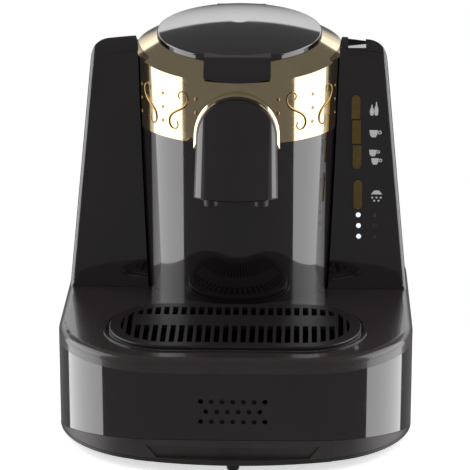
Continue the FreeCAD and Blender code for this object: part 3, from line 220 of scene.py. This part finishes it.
# %% Softboxes
SOFTBOX_SIDE = 0.80
SOFTBOX_WIDTH = 0.78
SOFTBOX_HEIGHT = 1.5
SOFTBOX_BACK = 0.03
SOFTBOX_MIDDLE = 0.20
SOFTBOX_BRIGHTNESS = 2.2
for side, name in ((-1, "left_softbox"), (1, "right_softbox")):
    place = Vector((side * SOFTBOX_SIDE, SOFTBOX_BACK, SOFTBOX_MIDDLE))
    inwards = Vector((-side, 0.0, 0.0))
    bpy.ops.object.light_add(type="AREA", location=place,
                             rotation=inwards.to_track_quat("-Z", "Y").to_euler())
    softbox = bpy.context.object
    softbox.name = name
    softbox.data.shape = "RECTANGLE"
    softbox.data.size = SOFTBOX_WIDTH
    softbox.data.size_y = SOFTBOX_HEIGHT
    softbox.data.energy = SOFTBOX_BRIGHTNESS * math.pi * SOFTBOX_WIDTH * SOFTBOX_HEIGHT
    print(name, "energy in watts:", round(softbox.data.energy, 2))

# %% [markdown]
# ## Finishes
# Every finish starts from what the real surface is and how it was made. The pattern is measured
# in millimetres on the piece itself, so it keeps its size from any distance, and it drives the
# bump and the roughness. The colour, metal and gloss values that are the same all over are set
# straight on the shader.

# %% What all finishes share
GRAIN_DETAIL = 4.0
CLOUD_DETAIL = 2.0
NOISE_LOW = 0.3
NOISE_HIGH = 0.7


def new_finish(name, **values):
    """A material with a Principled shader, its even values, and its output."""
    material = bpy.data.materials.new(name)
    material.use_nodes = True
    material.node_tree.nodes.clear()
    shader = add_node(material.node_tree, "ShaderNodeBsdfPrincipled", None,
                      {key.replace("_", " "): value for key, value in values.items()})
    shader.name = "shader"
    add_node(material.node_tree, "ShaderNodeOutputMaterial", None, {"Surface": shader.outputs[0]})
    return material


def on_piece(material, stretch=(1, 1, 1)):
    """Places on the piece in metres, stretched where the pattern runs one way."""
    tree = material.node_tree
    places = add_node(tree, "ShaderNodeTexCoord").outputs["Object"]
    return add_node(tree, "ShaderNodeMapping", None, {"Vector": places, "Scale": stretch}).outputs[0]


def grain(material, size_mm, depth_mm, smooth, rough, stretch=(1, 1, 1)):
    """Fine surface texture: grains of a real size that lift the surface and vary its gloss."""
    tree = material.node_tree
    shader = tree.nodes["shader"]
    noise = add_node(tree, "ShaderNodeTexNoise", None,
                     {"Vector": on_piece(material, stretch), "Scale": 1 / (size_mm * MM),
                      "Detail": GRAIN_DETAIL})
    gloss = add_node(tree, "ShaderNodeMapRange", None,
                     {"Value": noise.outputs[0], "From Min": NOISE_LOW, "From Max": NOISE_HIGH,
                      "To Min": smooth, "To Max": rough})
    lift = add_node(tree, "ShaderNodeBump", None,
                    {"Height": noise.outputs[0], "Distance": depth_mm * MM, "Strength": 1.0})
    tree.links.new(gloss.outputs[0], shader.inputs["Roughness"])
    tree.links.new(lift.outputs[0], shader.inputs["Normal"])


def tone(material, first, second, size_mm, stretch=(1, 1, 1)):
    """Cloudy change between two near colours, as in real plastic, metal or ink."""
    tree = material.node_tree
    clouds = add_node(tree, "ShaderNodeTexNoise", None,
                      {"Vector": on_piece(material, stretch), "Scale": 1 / (size_mm * MM),
                       "Detail": CLOUD_DETAIL})
    mix = add_node(tree, "ShaderNodeMix", {"data_type": "RGBA"},
                   {0: clouds.outputs[0], 6: linear(first), 7: linear(second)})
    tree.links.new(mix.outputs[2], tree.nodes["shader"].inputs["Base Color"])


print("helpers for finishes are ready")

# %% [markdown]
# ### High-gloss ABS
# The shells are ABS moulded in a polished steel mould, which gives piano black: an almost black,
# slightly warm base under a mirror skin. The skin is never perfect. Over centimetres it waves by
# a few hundredths of a millimetre, which bends the edges of reflections a little, and wiping
# leaves soft patches of lower gloss. A clear coat layer carries the mirror, and the base below
# it stays a little rougher, so each stripe of light gets a faint halo.

# %% Finish: high-gloss black ABS
SKIN_WAVE_MM = 22.0
SKIN_WAVE_DEPTH_MM = 0.02
gloss_black = new_finish("high_gloss_black_abs", IOR=1.55, Coat_Weight=1.0, Coat_Roughness=0.012,
                         Coat_IOR=1.6)
tone(gloss_black, "151012", "1c1617", 40.0)
grain(gloss_black, 14.0, 0.004, 0.05, 0.10)
skin_waves = add_node(gloss_black.node_tree, "ShaderNodeTexNoise", None,
                      {"Vector": on_piece(gloss_black), "Scale": 1 / (SKIN_WAVE_MM * MM), "Detail": 1.0})
skin_lift = add_node(gloss_black.node_tree, "ShaderNodeBump", None,
                     {"Height": skin_waves.outputs[0], "Distance": SKIN_WAVE_DEPTH_MM * MM})
gloss_black.node_tree.links.new(skin_lift.outputs[0],
                                gloss_black.node_tree.nodes["shader"].inputs["Coat Normal"])
print("finish:", gloss_black.name)

# %% [markdown]
# ### Satin ABS
# The drawer front comes from a mould whose steel was spark eroded: a fine even grain of about a
# third of a millimetre that scatters the light. At this image size a true grain would vanish, so
# it is drawn at half a millimetre. The cup grille is darker, the deck has a finer grain under a
# thin coat, and the spout's trim is a dark nickel film.

# %% Finishes: satin blacks and dark trim
satin_black = new_finish("spark_eroded_satin_abs", IOR=1.53)
tone(satin_black, "2c2627", "383132", 25.0)
grain(satin_black, 0.5, 0.02, 0.34, 0.50)

grille_black = new_finish("satin_lacquered_grille", IOR=1.53)
tone(grille_black, "1a1617", "211d1e", 25.0)
grain(grille_black, 0.5, 0.02, 0.30, 0.44)

deck_black = new_finish("fine_grained_deck_abs", IOR=1.55, Coat_Weight=0.6, Coat_Roughness=0.05)
tone(deck_black, "2a2425", "322c2d", 30.0)
grain(deck_black, 0.7, 0.008, 0.24, 0.34)

dark_trim = new_finish("dark_nickel_trim_abs", Metallic=0.7)
tone(dark_trim, "45403d", "38332f", 10.0)
grain(dark_trim, 1.0, 0.004, 0.22, 0.32)
print("finishes:", satin_black.name, grille_black.name, deck_black.name, dark_trim.name)

# %% [markdown]
# ### Metallised ABS
# The band, the collar and the trim are ABS with a vacuum-coated metal film under lacquer. The
# champagne gold comes from tinted lacquer over aluminium. It mirrors the room, a little softer
# than polished metal, and hair-fine polishing lines run round the band.

# %% Finishes: champagne gold, bright trim and dark gold buttons
champagne_gold = new_finish("metallised_champagne_gold_abs", Metallic=1.0, Coat_Weight=0.25,
                            Coat_Roughness=0.08)
tone(champagne_gold, "efdcb8", "e3cc9f", 18.0)
grain(champagne_gold, 3.0, 0.002, 0.07, 0.12, (1, 1, 5))

# The relief is the same metal film as the band. Its darker gold is painted shade, which stands in for the
# shade that falls on the raised ridges.
relief_gold_painted_shade = new_finish("embossed_gold_painted_shade", Metallic=1.0)
tone(relief_gold_painted_shade, "a98b58", "94774a", 6.0)
grain(relief_gold_painted_shade, 1.2, 0.004, 0.16, 0.28)

bright_trim = new_finish("bright_metallised_trim_abs", Metallic=1.0)
tone(bright_trim, "8f8a84", "827d78", 10.0)
grain(bright_trim, 1.5, 0.003, 0.10, 0.20)

button_gold = new_finish("brushed_dark_gold_buttons", Metallic=1.0)
tone(button_gold, "b09660", "957d4c", 4.0)
grain(button_gold, 0.6, 0.010, 0.26, 0.42, (1, 1, 0.12))
print("finishes:", champagne_gold.name, relief_gold_painted_shade.name, bright_trim.name, button_gold.name)

# %% [markdown]
# ### Metals inside
# The brewing chamber is deep-drawn stainless steel, brushed round; the heater is cast aluminium
# with a coarse skin; the transformer shows lacquered steel sheets in 0.5 mm layers and copper.

# %% Finishes: stainless steel, cast aluminium and transformer
brushed_steel = new_finish("brushed_stainless_steel", Metallic=1.0)
tone(brushed_steel, "c9cacb", "b4b6b8", 8.0)
grain(brushed_steel, 0.8, 0.006, 0.22, 0.38, (0.2, 0.2, 1))

cast_aluminium = new_finish("cast_aluminium", Metallic=1.0)
tone(cast_aluminium, "b9babb", "a3a5a7", 3.0)
grain(cast_aluminium, 0.9, 0.05, 0.40, 0.62)

sheet_steel_copper = new_finish("transformer_sheets_and_copper", Metallic=1.0)
layers = add_node(sheet_steel_copper.node_tree, "ShaderNodeTexWave", {"bands_direction": "X"},
                  {"Vector": on_piece(sheet_steel_copper), "Scale": 1 / (2.0 * MM) / (2 * math.pi),
                   "Distortion": 0.2})
layer_colour = add_node(sheet_steel_copper.node_tree, "ShaderNodeMix", {"data_type": "RGBA"},
                        {0: layers.outputs[1], 6: linear("5b5a5c"), 7: linear("a8643a")})
sheet_steel_copper.node_tree.links.new(layer_colour.outputs[2],
                                       sheet_steel_copper.node_tree.nodes["shader"].inputs["Base Color"])
grain(sheet_steel_copper, 0.7, 0.01, 0.35, 0.55)
print("finishes:", brushed_steel.name, cast_aluminium.name, sheet_steel_copper.name)

# %% [markdown]
# ### Soft and inner parts
# Seals and tubes are translucent silicone, the feet are black rubber, and the parts that nobody
# looks at are plain black ABS straight from a sand-blasted mould.

# %% Finishes: silicone, rubber and inner plastic
clear_silicone = new_finish("platinum_cured_silicone", Transmission_Weight=0.35, IOR=1.41,
                            Subsurface_Weight=0.15)
tone(clear_silicone, "d8d9d6", "c6c8c4", 10.0)
grain(clear_silicone, 0.8, 0.01, 0.35, 0.50)

foot_rubber = new_finish("moulded_black_rubber", IOR=1.50)
tone(foot_rubber, "1b1a1a", "262424", 6.0)
grain(foot_rubber, 0.6, 0.03, 0.62, 0.82)

inner_abs = new_finish("sand_blasted_inner_abs", IOR=1.53)
tone(inner_abs, "211e1e", "2b2828", 15.0)
grain(inner_abs, 0.7, 0.02, 0.42, 0.60)
print("finishes:", clear_silicone.name, foot_rubber.name, inner_abs.name)

# %% [markdown]
# ### Clear parts
# The water tank is smoked clear SAN, the lamp lenses are frosted polycarbonate lit from behind,
# and the cup sensor looks through a window that is nearly black and passes infrared only.

# %% Finishes: smoked tank, lamp lenses and sensor window
smoked_tank = new_finish("smoked_clear_san", Transmission_Weight=0.75, IOR=1.57)
tone(smoked_tank, "8b8f93", "7b8084", 30.0)
grain(smoked_tank, 9.0, 0.01, 0.05, 0.12)

LAMP_GLOW = 0.9
lamp_lens = new_finish("frosted_lit_polycarbonate", IOR=1.58, Emission_Color=linear("dfe4f0"),
                       Emission_Strength=LAMP_GLOW)
tone(lamp_lens, "d6d8de", "c9ccd4", 1.0)
grain(lamp_lens, 0.4, 0.01, 0.30, 0.45)

sensor_window = new_finish("infrared_window", IOR=1.58, Coat_Weight=1.0, Coat_Roughness=0.03)
tone(sensor_window, "3a2c1c", "4a3822", 2.0)
grain(sensor_window, 1.0, 0.003, 0.08, 0.15)
print("finishes:", smoked_tank.name, lamp_lens.name, sensor_window.name)

# %% [markdown]
# ### Circuit board
# Green solder mask lies over woven glass cloth, whose threads show as a fine square weave of
# about half a millimetre. Two wave patterns at right angles give the weave.

# %% Finish: circuit board
board_green = new_finish("solder_masked_glass_board", IOR=1.55)
WEAVE_MM = 1.0
weaves = []
for direction_name in ("X", "Y"):
    weaves.append(add_node(board_green.node_tree, "ShaderNodeTexWave", {"bands_direction": direction_name},
                           {"Vector": on_piece(board_green), "Scale": 1 / (WEAVE_MM * MM) / (2 * math.pi)}))
weave = add_node(board_green.node_tree, "ShaderNodeMath", {"operation": "MULTIPLY"},
                 {0: weaves[0].outputs[1], 1: weaves[1].outputs[1]})
board_colour = add_node(board_green.node_tree, "ShaderNodeMix", {"data_type": "RGBA"},
                        {0: weave.outputs[0], 6: linear("1d5a38"), 7: linear("2c7449")})
board_green.node_tree.links.new(board_colour.outputs[2],
                                board_green.node_tree.nodes["shader"].inputs["Base Color"])
grain(board_green, 0.8, 0.01, 0.28, 0.42)
print("finish:", board_green.name)

# %% [markdown]
# ### Screen-printed ink
# The symbols beside the buttons are printed with pale grey ink, and three more in a dark grey
# that only shows when its lamp is lit. Screen ink is a little uneven and has no gloss.

# %% Finishes: printed ink
pale_ink = new_finish("pale_screen_ink", IOR=1.48)
tone(pale_ink, "d9dade", "c8c9cd", 1.5)
grain(pale_ink, 0.5, 0.01, 0.50, 0.65)

dim_ink = new_finish("dark_grey_screen_ink", IOR=1.48)
tone(dim_ink, "3c3839", "454142", 1.5)
grain(dim_ink, 0.5, 0.01, 0.50, 0.65)
print("finishes:", pale_ink.name, dim_ink.name)

# %% [markdown]
# ## Dress the solids
# The record of the part says which material slot each solid belongs to. One finish answers to
# each slot, and each solid takes the finish of its slot. A few pieces differ from the rest of
# their slot because they are made another way.

# %% Give every solid its finish
finish_of_slot = {
    "black_abs": gloss_black, "satin_black": satin_black, "gold": champagne_gold,
    "trim_silver": bright_trim, "button_gold": button_gold, "steel": brushed_steel,
    "aluminium": cast_aluminium, "silicone": clear_silicone, "foot_rubber": foot_rubber,
    "inner_plastic": inner_abs, "clear_tank": smoked_tank, "board": board_green,
    "lens": lamp_lens, "sensor": sensor_window, "copper": sheet_steel_copper,
}
slot_of_node = {entry["node"]: entry["material_slot"] for entry in frame["record"]["subparts"]}
finish_of_node = {"cup_grille": grille_black, "deck_shell": deck_black, "spout_trim": dark_trim}
for name, solid in frame["nodes"].items():
    solid.data.materials.clear()
    solid.data.materials.append(finish_of_node.get(name, finish_of_slot[slot_of_node[name]]))
print(len(frame["nodes"]), "solids dressed in", len(finish_of_slot), "finishes")

# %% [markdown]
# ## Relief on the gold band
# The pattern of such a band is cut into its mould, so it stands proud of the plastic and takes the
# metal film with it. One scroll is a curve whose bend grows with the square of the distance from
# its middle, so both ends roll up into an S. A round bar follows it, thickest in the middle, and
# sinks half into the band, which leaves a low rounded ridge. Every second scroll is mirrored. The
# pattern is a generic one: S-scrolls and berries. It is left out where the spout and towers hide
# the band.

# %% One scroll, laid round the band
BAND_RADIUS = 83.0 * MM
BAND_CENTRE = Vector((0.0, 64.0 * MM, 0.0))
RELIEF_MIDDLE = 247.0 * MM
RELIEF_BAR = 0.8 * MM
SCROLL_COUNT = 16
SPOUT_HALF_ANGLE = math.radians(22)
SCROLL_STEPS = 48
SCROLL_HALF_LENGTH = 31.0 * MM
SCROLL_CURL = 5.2
SCROLL_TILT = math.radians(28)
SCROLL_MIDDLE_THICKNESS = 1.3
SCROLL_TAPER = 0.7
SMOOTH_ANGLE = math.radians(40)
LOOK_FROM = 12.0 * MM


def scroll_points():
    """Flat points of one S-scroll, from the middle outwards both ways, as the bend grows evenly."""
    half = [Vector((0.0, 0.0))]
    step = SCROLL_HALF_LENGTH / SCROLL_STEPS
    for index in range(SCROLL_STEPS):
        share = (index + 0.5) / SCROLL_STEPS
        heading = SCROLL_TILT + SCROLL_CURL * share ** 2
        half.append(half[-1] + Vector((math.cos(heading), math.sin(heading))) * step)
    return [-point for point in reversed(half[1:])] + half


def on_band(around, up):
    """A place on the band, from a distance round its front and a height."""
    angle = around / BAND_RADIUS
    return BAND_CENTRE + Vector((math.sin(angle), -math.cos(angle), 0.0)) * BAND_RADIUS + Vector((0, 0, up))


def is_open(around):
    """Whether the band lies bare there: clear of the spout, and the first thing met from outside."""
    if abs(around) / BAND_RADIUS < SPOUT_HALF_ANGLE:
        return False
    target = on_band(around, RELIEF_MIDDLE)
    axis = Vector((BAND_CENTRE.x, BAND_CENTRE.y, RELIEF_MIDDLE))
    outward = (target - axis).normalized()
    met, _, _, _, solid, _ = bpy.context.scene.ray_cast(bpy.context.evaluated_depsgraph_get(),
                                                        target + outward * LOOK_FROM, -outward)
    return met and solid.name == frame["nodes"]["head_band"].name


def finish_piece(piece, name, material):
    """Name a finished mesh, give it its finish and fix it to the housing."""
    piece.name = name
    piece.data.materials.clear()
    piece.data.materials.append(material)
    select_only(piece)
    bpy.ops.object.transform_apply(location=True, rotation=True, scale=True)
    bpy.ops.object.shade_smooth_by_angle(angle=SMOOTH_ANGLE)
    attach(piece, "housing")


repeat = 2 * math.pi * BAND_RADIUS / SCROLL_COUNT
flat_scroll = scroll_points()
scroll_number = 0
for index in range(SCROLL_COUNT):
    middle = (index - SCROLL_COUNT // 2 + 0.5) * repeat
    if not all(is_open(middle + side * repeat * 0.5) for side in (-1, 0, 1)):
        continue
    mirrored_scroll = -1 if index % 2 else 1
    bpy.ops.curve.primitive_bezier_curve_add(location=(0, 0, 0))
    scroll = bpy.context.object
    scroll.data.splines.clear()
    line = scroll.data.splines.new("POLY")
    line.points.add(len(flat_scroll) - 1)
    for number, (place, point) in enumerate(zip(line.points, flat_scroll)):
        place.co = (*on_band(middle + mirrored_scroll * point.x, RELIEF_MIDDLE + point.y), 1.0)
        from_middle_share = abs(number / (len(flat_scroll) - 1) * 2 - 1)
        place.radius = SCROLL_MIDDLE_THICKNESS - SCROLL_TAPER * from_middle_share
    scroll.data.bevel_depth = RELIEF_BAR
    scroll.data.bevel_resolution = 2
    scroll.data.use_fill_caps = True
    select_only(scroll)
    bpy.ops.object.convert(target="MESH")
    scroll_number += 1
    finish_piece(bpy.context.object, f"band_scroll_{scroll_number}", relief_gold_painted_shade)
print("scrolls on the band:", scroll_number)

# %% Berries between the scrolls
BERRY_RADIUS = 1.5 * MM
BERRY_SPACING = 11.0 * MM
BERRY_FLATNESS = 0.25
berry_number = 0
for index in range(SCROLL_COUNT + 1):
    edge = (index - SCROLL_COUNT // 2) * repeat
    if not is_open(edge):
        continue
    for rise in (-BERRY_SPACING, 0.0, BERRY_SPACING):
        bpy.ops.mesh.primitive_uv_sphere_add(segments=16, ring_count=8, radius=BERRY_RADIUS,
                                             location=on_band(edge, RELIEF_MIDDLE + rise))
        berry = bpy.context.object
        berry.rotation_euler = (0, 0, edge / BAND_RADIUS)
        berry.scale = (1.0, BERRY_FLATNESS, 1.0)
        berry_number += 1
        finish_piece(berry, f"band_berry_{berry_number}", relief_gold_painted_shade)
print("berries on the band:", berry_number)

# %% [markdown]
# ## Printed symbols
# The symbols beside the buttons are screen-printed: flat shapes of ink a tenth of a millimetre
# thick. Each is an outline drawn flat in millimetres, filled, and laid on the leaning face where
# a line of sight from the front meets it. The face's own slope turns it to the right angle.

# %% Print the symbols
INK_THICKNESS = 0.10 * MM
RING_POINTS = 8


def ring(middle_u, middle_v, radius):
    """Points round a circle, as a smooth outline."""
    turns = [2 * math.pi * index / RING_POINTS for index in range(RING_POINTS)]
    return "AUTO", [(middle_u + radius * math.cos(turn), middle_v + radius * math.sin(turn))
                    for turn in turns]


def cup(middle_u, middle_v, scale):
    """A cup from the side: a straight-edged bowl, and a round handle with a hole."""
    bowl = [(-4.4, 2.9), (2.4, 2.9), (1.9, -0.8), (0.6, -2.9), (-2.6, -2.9), (-3.9, -0.8)]
    outlines = [("VECTOR", [(middle_u + scale * u, middle_v + scale * v) for u, v in bowl])]
    return outlines + [ring(middle_u + scale * 3.9, middle_v + scale, scale * 1.5),
                       ring(middle_u + scale * 3.9, middle_v + scale, scale * 0.75)]


def leaf(middle_u, foot_v, width, height):
    """One flame leaf: round below and drawn out to a tip above."""
    belly, neck = (0.5, 0.35), (0.16, 0.8)
    shares = [(0, 0), belly, neck, (0, 1), (-neck[0], neck[1]), (-belly[0], belly[1])]
    return "AUTO", [(middle_u + width * u, foot_v + height * v) for u, v in shares]


def shower():
    """A shower rose with three drops and then two below it."""
    rose = [(-2.0, 5.0), (2.0, 5.0), (4.6, 1.8), (-4.6, 1.8)]
    drops = [(-3.4, -0.8), (0, -0.8), (3.4, -0.8), (-1.7, -3.4), (1.7, -3.4)]
    return [("VECTOR", rose)] + [ring(u, v, 0.8) for u, v in drops]


def print_symbol(name, outlines, x, z, ink):
    """Draw the outlines flat, fill them, and lay them on the face of the right panel."""
    panel = frame["nodes"]["control_panel"]
    met, place, face_normal, _ = panel.ray_cast(Vector((x * MM, -1.0, z * MM)), Vector((0, 1, 0)))
    if not met:
        raise ValueError(f"{name} misses the panel")
    bpy.ops.curve.primitive_bezier_circle_add(radius=1 * MM)
    drawn = bpy.context.object
    drawn.data.splines.clear()
    drawn.data.dimensions = "2D"
    drawn.data.fill_mode = "BOTH"
    drawn.data.extrude = INK_THICKNESS / 2
    for handle_kind, points in outlines:
        outline = drawn.data.splines.new("BEZIER")
        outline.bezier_points.add(len(points) - 1)
        outline.use_cyclic_u = True
        for corner, (u, v) in zip(outline.bezier_points, points):
            corner.co = (u * MM, v * MM, 0)
            corner.handle_left_type = handle_kind
            corner.handle_right_type = handle_kind
    drawn.location = place + face_normal * INK_THICKNESS / 2
    drawn.rotation_euler = (math.acos(min(1.0, face_normal.z)), 0, 0)
    select_only(drawn)
    bpy.ops.object.convert(target="MESH")
    finish_piece(bpy.context.object, name, ink)


SYMBOLS = {
    "flame_symbol": ([leaf(-1.6, -5.6, 3.4, 9.0), leaf(1.9, -5.6, 3.2, 11.2)], 107.5, 238.0, pale_ink),
    "one_cup_symbol": (cup(0, 0, 1.0), 108.5, 218.0, pale_ink),
    "two_cup_symbol": (cup(-1.0, 3.4, 0.9) + cup(0.8, -3.4, 0.9), 109.0, 199.0, pale_ink),
    "rinse_symbol": (shower(), 110.5, 167.0, pale_ink),
    "water_symbol": ([leaf(0, -1.8, 2.6, 3.8)], 109.5, 152.0, dim_ink),
    "ready_symbol": ([ring(0, 0, 1.7), ring(0, 0, 1.0)], 109.5, 143.2, dim_ink),
    "care_symbol": ([("VECTOR", [(-1.8, -1.5), (1.8, -1.5), (0, 1.7)])], 109.5, 134.4, dim_ink),
}
for name, (outlines, x, z, ink) in SYMBOLS.items():
    print_symbol(name, outlines, x, z, ink)
print("symbols printed:", len(SYMBOLS))
